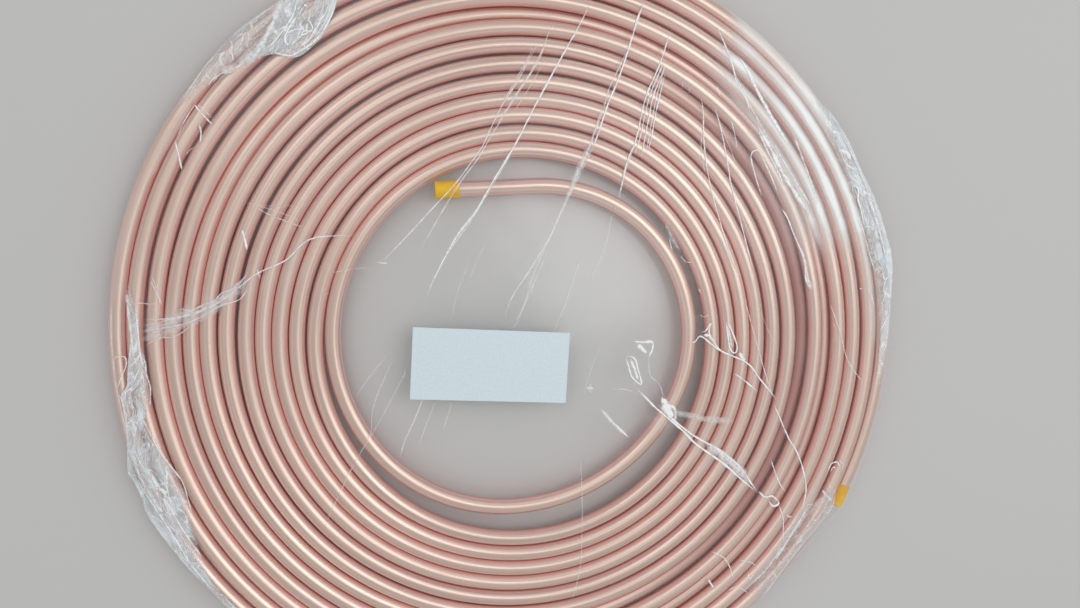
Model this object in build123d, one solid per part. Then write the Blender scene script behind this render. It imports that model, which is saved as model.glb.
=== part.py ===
from build123d import *
import math
import os

# Flat coil of soft copper tube, lying on its side in a clear film wrap.
# Units are millimetres, +Z is up, and +X is to the right as the label reads.
# The origin is on the coil's axis, on the face that it rests on.

# Tube, 3/8 inch outside with a 0.028 inch wall
tube_diameter = 9.525
tube_wall = 0.711

# Winding. Each half turn is one arc, and the arcs meet on one line through the axis.
# The tube winds clockwise on its way out.
joining_line_angle = 40.0
first_turn_radius = 123.2
turn_gap = 0.3
# Extra slack between neighbouring turns, in turn order, at the two ends of the joining line
slack_upper_right = (0.4, 0.5, 0.4, 0.8, 1.1, 0.2, 0.3, 0.1, 0.1, 1.1, 1.2, 0.0)
slack_lower_left = (0.1, 0.0, 0.0, 0.4, 0.7, 0.3, 0.4, 0.6, 0.2, 0.3, 1.0, 0.3)

# How far each turn lies behind the others at the upper right, from the pack's first one outwards.
# One turn is set back there, and so is the last one, on its way to the outer end.
depth_upper_right = (0.0, 0.0, 0.0, 0.0, 0.0, 0.0, 0.0, 0.0, 4.0, 0.0, 0.0, 0.0, 4.0)
tail_angle = 62.5
tail_straight = 18.5

# Loose innermost turn, from where it leaves the pack back to the inner end:
# angles about the axis, and how far inside first_turn_radius the tube runs there.
# Its straight end stops at a clearance from the pack.
loose_turn_angles = (148.0, 215.0, 265.0, 336.0, 447.0)
loose_turn_insets = (3.0, 9.0, 16.5, 17.2, 23.7)
inner_end_clearance = 0.1

# Plastic caps pushed over both cut ends
cap_length = 15.0
cap_wall = 0.65
cap_end_wall = 1.2
cap_fit = 0.05
cap_floor_gap = 0.2
cap_edge_radius = 0.5

# Film wrap: two sheets sealed together around the rim
film_thickness = 0.2
film_clearance = 0.3
film_shoulder_radius = 4.0
film_seam_width = 3.0

# Paper label on the front sheet
label_width = 98.0
label_height = 45.0
label_thickness = 0.15
label_centre_x = -21.9
label_centre_y = -13.0
label_turn = -2.4

tube_radius = tube_diameter / 2
cap_radius = tube_radius + cap_fit + cap_wall


def polar(radius, angle, height=0.0):
    """Point at a radius and an angle about the coil's axis."""
    turned = math.radians(angle)
    return Vector(radius * math.cos(turned), radius * math.sin(turned), height)


def step_out(first_depth, second_depth, slack, outer_radius=tube_radius):
    """Radial step between two neighbouring turns that lie at different depths."""
    apart = tube_radius + turn_gap + outer_radius
    return math.sqrt(apart**2 - (second_depth - first_depth) ** 2) + slack


def junctions():
    """Points where the half turns meet, from the pack's first one outwards."""
    last_turn = len(slack_upper_right)
    # The last turn keeps clear of its neighbour by its cap's radius, not by its own
    outer_radii = [tube_radius] * (last_turn - 1) + [cap_radius]
    right_radii = [first_turn_radius]
    left_radii = [first_turn_radius + (tube_diameter + turn_gap) / 2]
    for turn in range(last_turn):
        depths = depth_upper_right[turn : turn + 2]
        right_radii.append(
            right_radii[-1] + step_out(*depths, slack_upper_right[turn], outer_radii[turn])
        )
        left_radii.append(left_radii[-1] + step_out(0, 0, slack_lower_left[turn], outer_radii[turn]))
    # No turn is set back at the lower left, but the last half turn slopes on beyond the outer end
    left_depths = [0.0] * last_turn + [2 * depth_upper_right[-1]]
    points = []
    for turn in range(last_turn + 1):
        points.append(polar(right_radii[turn], joining_line_angle, -depth_upper_right[turn]))
        points.append(polar(left_radii[turn], joining_line_angle - 180, -left_depths[turn]))
    return points


def half_turn(start, end, sweep=180.0):
    """Arc from start towards end, which are across the axis from each other."""
    centre = (start + end) / 2
    radius = (start - end).length / 2
    outward = (start - centre).normalized()
    side = 1 if outward.dot(polar(1, joining_line_angle)) > 0 else -1
    along = polar(side, joining_line_angle - 90)

    def at(angle):
        turned = math.radians(angle)
        return centre + outward * (radius * math.cos(turned)) + along * (radius * math.sin(turned))

    return ThreePointArc(at(0), at(sweep / 2), at(sweep))


def inner_straight(start, direction):
    """Length of the straight inner end whose cap stops at its clearance from the pack."""
    reach = first_turn_radius - loose_turn_insets[0] - tube_radius - inner_end_clearance
    side = start + start.normalized() * cap_radius
    along = side.dot(direction)
    to_reach = math.sqrt(along**2 - side.length**2 + reach**2) - along
    return to_reach - cap_floor_gap - cap_end_wall


def winding():
    """The tube's centre line from the inner end to the outer end."""
    points = junctions()
    edges = []
    start = points[0]
    backwards = polar(1, joining_line_angle + 90)
    for angle, inset in zip(loose_turn_angles, loose_turn_insets):
        end = polar(first_turn_radius - inset, angle)
        arc = TangentArc(start, end, tangent=backwards)
        edges.insert(0, arc)
        backwards = arc % 1
        start = end
    edges.insert(0, Line(start + backwards * inner_straight(start, backwards), start))
    for first, second in zip(points[:-2], points[1:-1]):
        edges.append(half_turn(first, second))
    edges.append(half_turn(points[-2], points[-1], tail_angle))
    tail = edges[-1]
    edges.append(Line(tail @ 1, tail @ 1 + (tail % 1) * tail_straight))
    return edges


def cut_ends(edges):
    """Planes on the two cut ends of the tube, with their Z axes pointing out of it."""
    inner = edges[0]
    outer = edges[-1]
    return Plane(origin=inner @ 0, z_dir=-(inner % 0)), Plane(origin=outer @ 1, z_dir=outer % 1)


def make_tube(edges):
    """The hollow tube as one swept solid."""
    section = Plane(origin=edges[0] @ 0, z_dir=edges[0] % 0)
    ring = section * (Circle(tube_radius) - Circle(tube_radius - tube_wall))
    return sweep(ring, path=Wire(edges))


def make_cap(end):
    """Cap over a cut end, shut at the far side, in the frame of that end."""
    hanging = (Align.CENTER, Align.CENTER, Align.MAX)
    shell = Pos(0, 0, cap_floor_gap + cap_end_wall) * Cylinder(cap_radius, cap_length, align=hanging)
    shell = fillet(shell.edges().filter_by(GeomType.CIRCLE), cap_edge_radius)
    bore = Pos(0, 0, cap_floor_gap) * Cylinder(tube_radius + cap_fit, cap_length, align=hanging)
    return end * (shell - bore)


def make_film(radius, height):
    """Back and front sheets, each a shallow dish with a flat seam around its rim."""
    inside = radius - film_thickness
    seam = radius + film_seam_width
    shoulder = film_shoulder_radius
    middle = height / 2
    with BuildSketch(Plane.XZ) as section:
        with BuildLine():
            Polyline((radius - shoulder, 0), (0, 0), (0, film_thickness), (radius - shoulder, film_thickness))
            RadiusArc(
                (radius - shoulder, film_thickness), (inside, shoulder), -(shoulder - film_thickness)
            )
            Polyline(
                (inside, shoulder),
                (inside, middle),
                (seam, middle),
                (seam, middle - film_thickness),
                (radius, middle - film_thickness),
                (radius, shoulder),
            )
            RadiusArc((radius, shoulder), (radius - shoulder, 0), shoulder)
        make_face()
    back = revolve(section.sketch, Axis.Z)
    front = Pos(0, 0, height) * mirror(back, Plane.XY)
    return back, front


def make_label(height):
    """Paper label lying on the front sheet."""
    plate = Box(
        label_width, label_height, label_thickness, align=(Align.CENTER, Align.CENTER, Align.MIN)
    )
    return Pos(label_centre_x, label_centre_y, height) * Rot(0, 0, label_turn) * plate


os.makedirs("parts", exist_ok=True)

route = winding()
inner_end, outer_end = cut_ends(route)
coil = {
    "copper_tube": make_tube(route),
    "inner_end_cap": make_cap(inner_end),
    "outer_end_cap": make_cap(outer_end),
}
coil_box = Compound(list(coil.values())).bounding_box()
lift = film_thickness + film_clearance - coil_box.min.Z
film_height = coil_box.size.Z + 2 * (film_thickness + film_clearance)
last_junction = junctions()[-2]
outermost = max(
    last_junction.length + tube_radius,
    outer_end.origin.length + cap_radius,
)
film_radius = outermost + film_clearance + film_thickness

pieces = {name: Pos(0, 0, lift) * piece for name, piece in coil.items()}
pieces["film_back"], pieces["film_front"] = make_film(film_radius, film_height)
pieces["label"] = make_label(film_height)

for name, piece in pieces.items():
    export_step(piece, f"parts/{name}.step")

print("tube length", round(sum(edge.length for edge in route), 1))
print("film radius", round(film_radius, 2), "height", round(film_height, 2), "lift", round(lift, 3))
for name, piece in pieces.items():
    print(name, "volume", round(piece.volume, 1), "solids", len(piece.solids()), "valid", piece.is_valid)
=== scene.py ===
import math

import bpy
import numpy as np
from mathutils import Euler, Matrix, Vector
from mathutils.kdtree import KDTree


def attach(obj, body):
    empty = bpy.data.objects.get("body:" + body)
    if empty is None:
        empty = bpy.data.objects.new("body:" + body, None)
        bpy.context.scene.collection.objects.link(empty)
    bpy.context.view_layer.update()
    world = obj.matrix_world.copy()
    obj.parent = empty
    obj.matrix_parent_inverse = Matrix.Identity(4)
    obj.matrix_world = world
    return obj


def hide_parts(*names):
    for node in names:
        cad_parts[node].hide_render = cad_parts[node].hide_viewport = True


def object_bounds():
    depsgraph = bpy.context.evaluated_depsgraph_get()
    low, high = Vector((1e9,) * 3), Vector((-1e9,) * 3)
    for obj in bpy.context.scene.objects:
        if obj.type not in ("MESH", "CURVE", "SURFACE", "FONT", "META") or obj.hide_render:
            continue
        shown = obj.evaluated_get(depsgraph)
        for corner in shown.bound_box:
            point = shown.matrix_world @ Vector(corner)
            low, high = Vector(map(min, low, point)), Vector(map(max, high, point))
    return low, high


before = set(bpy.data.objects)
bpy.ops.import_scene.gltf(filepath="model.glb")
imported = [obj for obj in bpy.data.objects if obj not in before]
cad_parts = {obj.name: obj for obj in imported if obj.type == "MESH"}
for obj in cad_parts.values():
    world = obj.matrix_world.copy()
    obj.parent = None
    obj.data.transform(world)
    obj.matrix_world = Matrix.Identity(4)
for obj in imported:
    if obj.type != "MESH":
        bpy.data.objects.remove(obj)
cad_low, cad_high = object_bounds()

# Camera
# It looks down at the labelled face from half a metre, a little off square,
# as a phone's main lens would.
MM = 0.001
picture_width = 1080
picture_height = 608
focal_length_in_pixels = 800
camera_place = (-68.405, 76.368, 508.908)
camera_angles = (-5.9466, -8.8049, 0.9135)
sensor_width = 36.0
nearest_seen = 0.01
farthest_seen = 20

camera_data = bpy.data.cameras.new("camera")
camera_data.sensor_width = sensor_width
camera_data.lens = sensor_width * focal_length_in_pixels / picture_width
camera_data.clip_start = nearest_seen
camera_data.clip_end = farthest_seen
camera = bpy.data.objects.new("camera", camera_data)
camera.location = [value * MM for value in camera_place]
camera.rotation_euler = Euler([math.radians(angle) for angle in camera_angles])
bpy.context.scene.collection.objects.link(camera)
bpy.context.scene.camera = camera

# Copper tube
# One length of soft drawn copper tube, wound flat and clockwise outwards in half turns.
# Its innermost turn has sprung loose, and its outer end drops behind the last turn but one.
tube_diameter = 9.525
tube_wall = 0.711
tube_radius = tube_diameter / 2
cap_fit = 0.05
cap_wall = 0.65
cap_radius = tube_radius + cap_fit + cap_wall
# The label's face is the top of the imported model. Under it come the film, its clearance and a cap.
label_thickness = 0.15
film_thickness = 0.2
film_clearance = 0.3
over_the_caps = label_thickness + film_thickness + film_clearance
tube_centre_height = cad_high[2] / MM - over_the_caps - cap_radius

joining_line_angle = 40.0
first_turn_radius = 123.2
turn_gap = 0.3
slack_upper_right = (0.4, 0.5, 0.4, 0.8, 1.1, 0.2, 0.3, 0.1, 0.1, 1.1, 1.2, 0.0)
slack_lower_left = (0.1, 0.0, 0.0, 0.4, 0.7, 0.3, 0.4, 0.6, 0.2, 0.3, 1.0, 0.3)
depth_upper_right = (0.0, 0.0, 0.0, 0.0, 0.0, 0.0, 0.0, 0.0, 4.0, 0.0, 0.0, 0.0, 4.0)
tail_angle = 62.5
tail_straight = 18.5
loose_turn_angles = (148.0, 215.0, 265.0, 336.0, 447.0)
loose_turn_insets = (3.0, 9.0, 16.5, 17.2, 23.7)
inner_straight = 60.7
tube_sides = 24
ring_spacing = 5.0
# How far the turns stray from their arcs, as in any coil wound on a machine and handled since:
# outward shifts in millimetres. Each row is the angle that a turn has come round from the joining
# line, then the shift there of the pack's first turn, its second, and so on outwards.
wander = (
    (0, -0.5, -0.5, -0.2, -0.3, -0.3, 0.0, -0.2, 0.0, -1.1, -2.4, -2.2, -2.6),
    (20, 0.1, 0.4, 0.5, 0.4, 0.7, 1.1, 0.7, 0.1, -1.0, -2.2, -2.2, -1.8),
    (60, 1.2, 1.6, 1.7, 1.7, 1.8, 2.3, 1.4, 0.8, 0.5, -0.5, -1.2, -0.8),
    (90, 0.6, 1.4, 1.6, 1.9, 1.9, 2.0, 1.1, 0.6, 0.5, -0.2, -0.4, 0.0),
    (150, 0.0, 0.0, 0.0, 0.0, 0.0, 0.0, 0.0, 0.0, 0.0, 0.0, 0.0, 0.0),
    (200, 0.4, 0.7, 0.6, 0.3, 0.3, 0.4, 0.6, 0.3, 0.2, -0.2, -0.1, 0.0),
    (220, 0.1, 0.7, 0.9, 0.7, 0.2, 0.9, 1.3, 0.9, 0.7, 0.3, 1.2, 0.4),
    (250, 0.0, 0.7, 0.7, 0.5, 0.2, 1.2, 1.8, 1.6, 1.0, 2.2, 2.7, 2.2),
    (280, -0.2, 0.0, -0.2, -0.4, -0.3, 0.6, 1.1, 1.0, 0.4, 1.2, 1.7, 1.4),
    (310, -1.1, -0.5, -1.0, -1.3, -1.0, 0.0, 0.1, -0.6, -1.4, -1.3, -1.0, -1.0),
    (330, -1.2, -0.8, -1.0, -1.3, -1.1, -0.6, -0.4, -1.3, -2.4, -2.4, -2.4, -2.5),
    (360, -0.5, -0.2, -0.3, -0.3, 0.0, -0.2, 0.0, -1.1, -2.4, -2.2, -2.6, -2.6),
)
# The same for the loose turn and for the tail, as angles come round from the pack's start
loose_wander = ((-75, 0.0), (-45, -1.3), (-25, -1.3), (0, -0.5))
tail_wander = ((4320, -2.6), (4340, -1.4), (4365, 0.0))
# Two turns are pushed back behind their neighbours: turns come round from the pack's start, and depths
pushed_back = (
    (5.85, 0.0), (5.95, 1.5), (6.1, 3.4), (6.15, 4.2), (6.28, 4.2), (6.45, 0.0),
    (7.6, 0.0), (7.85, 1.6), (7.95, 2.0), (8.1, 2.0), (8.28, 2.5), (8.45, 0.0),
)
# The turn that lies deepest gets painted shade there, dark and dull: turns come round, and how dark from 0 to
# 1
painted_shade_stretch = (
    (5.9, 0.0), (6.0, 0.9), (6.1, 1.0), (6.2, 0.9), (6.32, 0.0),
    (7.8, 0.0), (8.0, 0.3), (8.2, 0.3), (8.4, 0.0),
)
# Samples along the tube over which all of this is smoothed
wander_window = 23


def polar(radius, angle, height=0.0):
    """Point at a radius and an angle about the coil's axis."""
    turned = math.radians(angle)
    return np.array((radius * math.cos(turned), radius * math.sin(turned), height))


def junctions():
    """Points where the half turns meet, from the pack's first one outwards."""
    last = len(slack_upper_right)
    right = [first_turn_radius]
    left = [first_turn_radius + (tube_diameter + turn_gap) / 2]
    for turn in range(last):
        apart = tube_radius + turn_gap + (cap_radius if turn == last - 1 else tube_radius)
        drop = depth_upper_right[turn + 1] - depth_upper_right[turn]
        right.append(right[-1] + math.sqrt(apart**2 - drop**2) + slack_upper_right[turn])
        left.append(left[-1] + apart + slack_lower_left[turn])
    points = []
    for turn in range(last + 1):
        below = 2 * depth_upper_right[-1] if turn == last else 0.0
        points.append(polar(right[turn], joining_line_angle, -depth_upper_right[turn]))
        points.append(polar(left[turn], joining_line_angle - 180, -below))
    return points


def along_arc(start, tangent, normal, radius, sweep):
    """Points and tangents every few millimetres along an arc that curves towards normal."""
    steps = max(2, round(abs(sweep * radius) / ring_spacing))
    turned = np.linspace(0, sweep, steps + 1)[:, None]
    points = start + radius * (tangent * np.sin(turned) + normal * (1 - np.cos(turned)))
    return points, tangent * np.cos(turned) + normal * np.sin(turned)


def along_line(start, tangent, length):
    """Points every few millimetres along a straight run."""
    steps = max(2, round(length / ring_spacing))
    return start + tangent * np.linspace(0, length, steps + 1)[:, None]


def winding():
    """Points along the tube's centre line from the inner end to the outer end."""
    joints = junctions()
    start = joints[0]
    tangent = polar(1, joining_line_angle + 90)
    runs = []
    # The loose turn is laid from the pack inwards, so each of its runs goes in front, end for end
    for angle, inset in zip(loose_turn_angles, loose_turn_insets):
        chord = polar(first_turn_radius - inset, angle) - start
        normal = np.array((-tangent[1], tangent[0], 0.0))
        radius = chord @ chord / (2 * chord @ normal)
        sweep = 2 * math.atan2(chord @ normal, chord @ tangent)
        points, tangents = along_arc(start, tangent, normal, radius, sweep)
        runs.insert(0, points[::-1])
        start, tangent = points[-1], tangents[-1]
    runs.insert(0, along_line(start, tangent, inner_straight)[::-1])
    for half_turn, (first, second) in enumerate(zip(joints[:-1], joints[1:])):
        ahead = polar(1 if half_turn % 2 == 0 else -1, joining_line_angle - 90)
        across = np.linalg.norm(second - first)
        sweep = math.radians(180 if half_turn < len(joints) - 2 else tail_angle)
        points, tangents = along_arc(first, ahead, (second - first) / across, across / 2, sweep)
        runs.append(points)
    runs.append(along_line(points[-1], tangents[-1], tail_straight))
    # Each run but the first starts where the one before it ends
    return np.concatenate([points[min(index, 1):] for index, points in enumerate(runs)])


def smoothed(values):
    """Values along the tube, averaged with their neighbours."""
    window = np.hanning(wander_window)
    padded = np.pad(values, wander_window // 2, mode="edge")
    return np.convolve(padded, window / window.sum(), "valid")


def mesh_piece(name, points, faces):
    """Mesh object in metres from points in millimetres, smooth, riding on the coil."""
    mesh = bpy.data.meshes.new(name)
    mesh.from_pydata(np.asarray(points, float) * MM, [], [list(map(int, face)) for face in faces])
    mesh.polygons.foreach_set("use_smooth", [True] * len(mesh.polygons))
    mesh.validate()
    piece = bpy.data.objects.new(name, mesh)
    bpy.context.scene.collection.objects.link(piece)
    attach(piece, "root")
    return piece


def grid_faces(rows, columns, closed=False):
    """Four-cornered faces of a grid of points, its rows closed into rings where asked."""
    across = np.arange(columns if closed else columns - 1)
    faces = []
    for row in range(rows - 1):
        here = row * columns + across
        beside = row * columns + (across + 1) % columns
        faces.append(np.stack([here, beside, beside + columns, here + columns], 1))
    return np.concatenate(faces)


def point_values(piece, name, values):
    """Stores one number for each point of a mesh, for its material to read."""
    layer = piece.data.attributes.new(name, "FLOAT", "POINT")
    layer.data.foreach_set("value", np.asarray(values, np.float32))


class Wire:
    """Output of a shader node, on which Python's arithmetic adds Math nodes."""

    def __init__(self, tree, socket=None):
        self.tree = tree
        self.socket = socket

    def node(self, kind, settings=None, inputs=None, output=0):
        """Adds any node: its settings first, then the values or links of its sockets."""
        added = self.tree.nodes.new("ShaderNode" + kind)
        for name, value in (settings or {}).items():
            setattr(added, name, value)
        for name, value in (inputs or {}).items():
            if isinstance(value, Wire):
                self.tree.links.new(value.socket, added.inputs[name])
            else:
                added.inputs[name].default_value = value
        return Wire(self.tree, added.outputs[output] if added.outputs else None)

    def maths(self, operation, *values):
        """Adds a Math node."""
        return self.node("Math", {"operation": operation}, dict(enumerate(values)))

    def __add__(self, other):
        return self.maths("ADD", self, other)

    def __sub__(self, other):
        return self.maths("SUBTRACT", self, other)

    def __rsub__(self, other):
        return self.maths("SUBTRACT", other, self)

    def __mul__(self, other):
        return self.maths("MULTIPLY", self, other)

    __radd__ = __add__
    __rmul__ = __mul__

    def at_most(self, limit):
        """This value, held at a limit."""
        return self.maths("MINIMUM", self, limit)

    def between(self, low, high, start=0.0, end=1.0):
        """Runs smoothly from start to end while this value goes from low to high."""
        settings = {"interpolation_type": "SMOOTHSTEP"}
        inputs = {"Value": self, "From Min": low, "From Max": high, "To Min": start, "To Max": end}
        return self.node("MapRange", settings, inputs)

    def colour_mix(self, first, second):
        """Colour that goes from first to second as this value goes from 0 to 1."""
        return self.node("Mix", {"data_type": "RGBA"}, {0: self, 6: first, 7: second}, output=2)

    def shader_mix(self, first, second):
        """Shader that goes from first to second as this value goes from 0 to 1."""
        return self.node("MixShader", {}, {0: self, 1: first, 2: second})

    def stretched(self, scale):
        """This vector with each part times its own number."""
        return self.node("VectorMath", {"operation": "MULTIPLY"}, {0: self, 1: scale})

    def noise(self, scale, detail=2.0, roughness=0.5, output=0):
        """Soft noise read at this vector: a number, or a colour as output 1."""
        inputs = {"Vector": self, "Scale": scale, "Detail": detail, "Roughness": roughness}
        return self.node("TexNoise", {}, inputs, output)

    def bump(self, strength, distance):
        """Normal that this height bends."""
        return self.node("Bump", {}, {"Height": self, "Strength": strength, "Distance": distance})


def new_material(name):
    """Empty material and a wire to build its nodes with."""
    material = bpy.data.materials.new(name)
    material.use_nodes = True
    material.node_tree.nodes.clear()
    return material, Wire(material.node_tree)


def set_surface(shader):
    """Links a shader to its material's output."""
    shader.node("OutputMaterial", {}, {"Surface": shader})


def stored(wire, name):
    """Number stored on the mesh's points by point_values."""
    return wire.node("Attribute", {"attribute_name": name}, output=2)


centres = winding()
bearing = np.unwrap(np.arctan2(centres[:, 1], centres[:, 0]))
pack_start = np.argmin(np.linalg.norm(centres - junctions()[0], axis=1))
come_round = np.degrees(bearing[pack_start] - bearing)
turn_number = (come_round // 360).astype(int)
strays = np.interp(come_round, *zip(*loose_wander))
for turn in range(len(wander[0]) - 1):
    here = turn_number == turn
    shifts = [row[turn + 1] for row in wander]
    strays[here] = np.interp(come_round[here] - 360 * turn, [row[0] for row in wander], shifts)
on_tail = come_round >= tail_wander[0][0]
strays[on_tail] = np.interp(come_round[on_tail], *zip(*tail_wander))
depths = np.interp(come_round / 360, *zip(*pushed_back))
away = centres[:, :2] / np.linalg.norm(centres[:, :2], axis=1)[:, None]
centres[:, :2] += away * smoothed(strays)[:, None]
centres[:, 2] += tube_centre_height - smoothed(depths)
tangents = np.gradient(centres, axis=0)
tangents /= np.linalg.norm(tangents, axis=1)[:, None]
sideways = np.cross(tangents, (0.0, 0.0, 1.0))
sideways /= np.linalg.norm(sideways, axis=1)[:, None]
upright = np.cross(sideways, tangents)
around = np.linspace(0, 2 * math.pi, tube_sides, endpoint=False)
ring = np.stack([np.cos(around), np.sin(around)], 1)
run_length = np.concatenate([[0], np.cumsum(np.linalg.norm(np.diff(centres, axis=0), axis=1))])


def ring_points(index, radius, shift=0.0):
    """Ring of points around the centre line at one sample, moved along the tube by shift."""
    offsets = ring[:, :1] * sideways[index] + ring[:, 1:] * upright[index]
    return centres[index] + tangents[index] * shift + radius * offsets


# The skin runs over each cut end's lip and a little way down the bore
bore_radius = tube_radius - tube_wall
bore_shown = 12.0
rings = [ring_points(0, bore_radius, bore_shown), ring_points(0, bore_radius)]
rings += [ring_points(index, tube_radius) for index in range(len(centres))]
rings += [ring_points(-1, bore_radius), ring_points(-1, bore_radius, -bore_shown)]
lengths = np.concatenate([[bore_shown, 0], run_length, [run_length[-1], run_length[-1] - bore_shown]])
faces = [list(face) for face in grid_faces(len(rings), tube_sides, closed=True)]
faces.append(list(range(tube_sides))[::-1])
faces.append([(len(rings) - 1) * tube_sides + side for side in range(tube_sides)])
tube = mesh_piece("copper_tube_wound", np.concatenate(rings), faces)
point_values(tube, "along", np.repeat(lengths * MM, tube_sides))
point_values(tube, "across", np.tile(np.cos(around), len(rings)))
point_values(tube, "height", np.tile(np.sin(around), len(rings)))
shading = np.interp(come_round / 360, *zip(*painted_shade_stretch))
point_values(tube, "shaded", np.repeat(np.pad(shading, 2), tube_sides))
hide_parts("copper_tube")

copper_dull = (0.62, 0.44, 0.39, 1.0)
copper_bright = (0.87, 0.628, 0.54, 1.0)
copper_painted_interreflection = (0.95, 0.60, 0.555, 1.0)
copper_painted_shade = (0.42, 0.21, 0.19, 1.0)
copper_crown_reflection = (0.685, 0.548, 0.455, 1.0)
copper_painted_highlight = (1.0, 0.82, 0.75, 1.0)
copper_painted_gap_shade = (0.78, 0.26, 0.19, 1.0)
most_crown_reflection = 0.50
most_painted_highlight = 0.32
most_painted_interreflection = 0.85
most_painted_gap_shade = 0.9

# The drawing die leaves long fine lines, and handling leaves duller clouds.
# The height on the tube is 1 on its crown, 0 on its flanks and -1 underneath.
copper, wire = new_material("drawn_copper")
across_tube, up_tube = stored(wire, "across"), stored(wire, "height")
place = wire.node("CombineXYZ", {}, {"X": stored(wire, "along"), "Y": across_tube, "Z": up_tube})
draw_lines = place.stretched((1.2, 9.0, 9.0)).noise(1.0, 3.0, 0.6)
# Soft lengthwise bands across the tube: random tone, which also stands in for painted reflections of the
# surroundings
tone_and_reflection_bands = place.stretched((1.5, 3.2, 3.2)).noise(1.0, 2.0, 0.5)
cloudy = place.stretched((9.0, 0.6, 0.6)).noise(1.0, 3.0, 0.5)
handling = place.stretched((40.0, 1.5, 1.5)).noise(1.0, 2.0, 0.5)
tone = (draw_lines * 0.3 + tone_and_reflection_bands * 0.5 + cloudy * 0.2).between(0.38, 0.62)
flank = up_tube.between(0.78, 0.30)
# Painted shade: the underside is darkened and reddened, like the gaps between turns where they mirror each
# other
painted_underside_shade = up_tube.between(0.50, -0.10, 0.0, most_painted_gap_shade)
# Painted dark reflection: the crown of each turn is greyed
crown = up_tube.between(0.80, 0.96, 0.0, most_crown_reflection)
# Painted highlights: pale lines along each turn between its crown and its flanks
painted_highlight_lines = up_tube.between(0.68, 0.78) * up_tube.between(0.92, 0.83) * most_painted_highlight
shaded = stored(wire, "shaded")
skin = crown.colour_mix(tone.colour_mix(copper_dull, copper_bright), copper_crown_reflection)
# Painted inter-reflection: the flanks are made pinker, as where turns mirror their neighbours
skin = (flank * most_painted_interreflection).colour_mix(skin, copper_painted_interreflection)
skin = painted_highlight_lines.colour_mix(skin, copper_painted_highlight)
# Painted shade on the turn pushed furthest back behind its neighbours
skin = shaded.colour_mix(skin, copper_painted_shade)
skin = painted_underside_shade.colour_mix(skin, copper_painted_gap_shade)
dullness = draw_lines.between(0.3, 0.7, 0.28, 0.36) + handling.between(0.45, 0.75, 0.0, 0.06)
shader = wire.node("BsdfPrincipled", {}, {
    "Base Color": skin,
    "Metallic": flank.between(0.0, 1.0, 0.92, 0.38) - shaded * 0.2,
    "Roughness": dullness + flank * 0.10 + shaded * 0.2,
    "Normal": (draw_lines * 0.7 + handling * 0.3).bump(0.12, 0.0004),
})
set_surface(shader)
tube.data.materials.append(copper)

# End caps
# Yellow plastic caps, moulded with a shut end and pushed over both cut ends of the tube.
# They keep the bore clean and dry until the tube is used.
cap_yellow = (0.77, 0.41, 0.002, 1.0)
cap_yellow_light = (0.88, 0.53, 0.005, 1.0)


def object_place(wire):
    """Place on the piece, in metres."""
    return wire.node("TexCoord", {}, {}, output=3)


def refinish(node, material):
    """Gives a solid of the frame its material."""
    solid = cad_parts[node]
    solid.data.materials.clear()
    solid.data.materials.append(material)


cap_plastic, wire = new_material("cap_plastic")
place = object_place(wire)
grain = place.noise(900.0, 2.0)
patches = place.noise(120.0, 2.0)
shader = wire.node("BsdfPrincipled", {}, {
    "Base Color": patches.between(0.3, 0.7).colour_mix(cap_yellow, cap_yellow_light),
    "Roughness": grain.between(0.3, 0.7, 0.32, 0.45),
    "Specular IOR Level": 0.22,
    "Normal": grain.bump(0.15, 0.0002),
})
set_surface(shader)
refinish("inner_end_cap", cap_plastic)
refinish("outer_end_cap", cap_plastic)

# Film wrap, back sheet
# Clear shrink film under the coil, flat where the coil rests on it and drawn up around the rim.
# It meets the front sheet in a thin welded seam halfway up.
film_turns = 480
film_gap = 0.35
face_height = tube_centre_height + tube_radius + film_gap
seam_height = tube_centre_height - 1.5
seam_width = 0.6
seam_curl = 0.5
weld_half = 0.1
floor_gap = 0.08
shoulder = 4.0
rim_foot = 6.5
rim_pleating = 0.4
seam_pleating = 0.5
# The film's outline is drawn around this length of tube at the outer end
outer_length = 2200
outline_sides = 16
straight_steps = 8
swell_height = 1.6
flat_insets = (240, 180, 120, 80, 50, 30, 15, 8)
back_milk = 0.02


def tight_outline(points, directions):
    """Distance from the axis to a film pulled tight around points, in each direction."""
    angles = np.arctan2(directions[:, 1], directions[:, 0])
    hull = []
    order = points[np.lexsort((points[:, 1], points[:, 0]))]
    for side in (order, order[::-1]):
        chain = []
        for point in side:
            while len(chain) > 1 and np.cross(chain[-1] - chain[-2], point - chain[-1]) <= 0:
                chain.pop()
            chain.append(point)
        hull += chain[:-1]
    hull = np.array(hull)
    hull = np.concatenate([hull, hull[:1]])
    steps = np.linspace(0, 1, straight_steps, endpoint=False)[:, None, None]
    dense = (hull[:-1] * (1 - steps) + hull[1:] * steps).reshape(-1, 2)
    dense_angles = np.arctan2(dense[:, 1], dense[:, 0])
    order = np.argsort(dense_angles)
    far = np.linalg.norm(dense, axis=1)
    return np.interp(angles, dense_angles[order], far[order], period=2 * math.pi)


def swell(x, y, wavelength, seed, waves=7):
    """Soft random swell from -1 to 1 over a plane."""
    chance = np.random.default_rng(seed)
    total = 0
    for _ in range(waves):
        turned = chance.uniform(0, 2 * math.pi)
        pace = 2 * math.pi / (wavelength * chance.uniform(0.7, 1.5))
        run = x * math.cos(turned) + y * math.sin(turned)
        total = total + np.sin(pace * run + chance.uniform(0, 6.3))
    return total / waves * swell_height


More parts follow.
